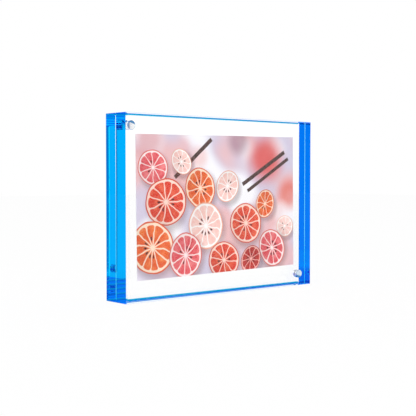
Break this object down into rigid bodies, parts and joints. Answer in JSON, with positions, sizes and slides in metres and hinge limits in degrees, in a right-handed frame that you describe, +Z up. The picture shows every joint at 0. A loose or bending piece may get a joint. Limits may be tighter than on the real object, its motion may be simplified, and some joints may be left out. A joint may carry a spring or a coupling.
{
  "type": "magnetic display frame",
  "caption": "Free-standing landscape photo frame of thick clear blocks with blue tinted edges, held face to face by small round magnets, with a print floating inside.",
  "frame": {"origin": "bottom centre of the closed frame, on the surface it stands on", "axes": "+Z up, +X to the right along the face as seen from the front, -Y towards the viewer, out of the front face"},
  "size_m": [0.1778, 0.0242, 0.127],
  "materials": {
    "clear_acrylic": "clear polished cast acrylic",
    "tinted_edge": "clear blue layer bonded to the polished edge",
    "magnet_plating": "bright nickel plating",
    "print_sheet": "satin photo paper, coated on both sides"
  },
  "bodies": {
    "back": {"back_block": "clear_acrylic", "back_left_edge": "tinted_edge", "back_right_edge": "tinted_edge", "back_top_edge": "tinted_edge", "back_bottom_edge": "tinted_edge", "back_upper_magnet": "magnet_plating", "back_lower_magnet": "magnet_plating"},
    "front": {"front_block": "clear_acrylic", "front_left_edge": "tinted_edge", "front_right_edge": "tinted_edge", "front_top_edge": "tinted_edge", "front_bottom_edge": "tinted_edge", "front_upper_magnet": "magnet_plating", "front_lower_magnet": "magnet_plating"},
    "print": {"photo_print": "print_sheet"}
  },
  "joints": [
    {"name": "front_pull", "type": "slide", "parent": "back", "child": "front", "axis": [0, -1, 0], "range_m": [0, 0.06]},
    {"name": "print_lift", "type": "slide", "parent": "back", "child": "print", "axis": [0, 0, 1], "range_m": [0, 0.12]}
  ]
}
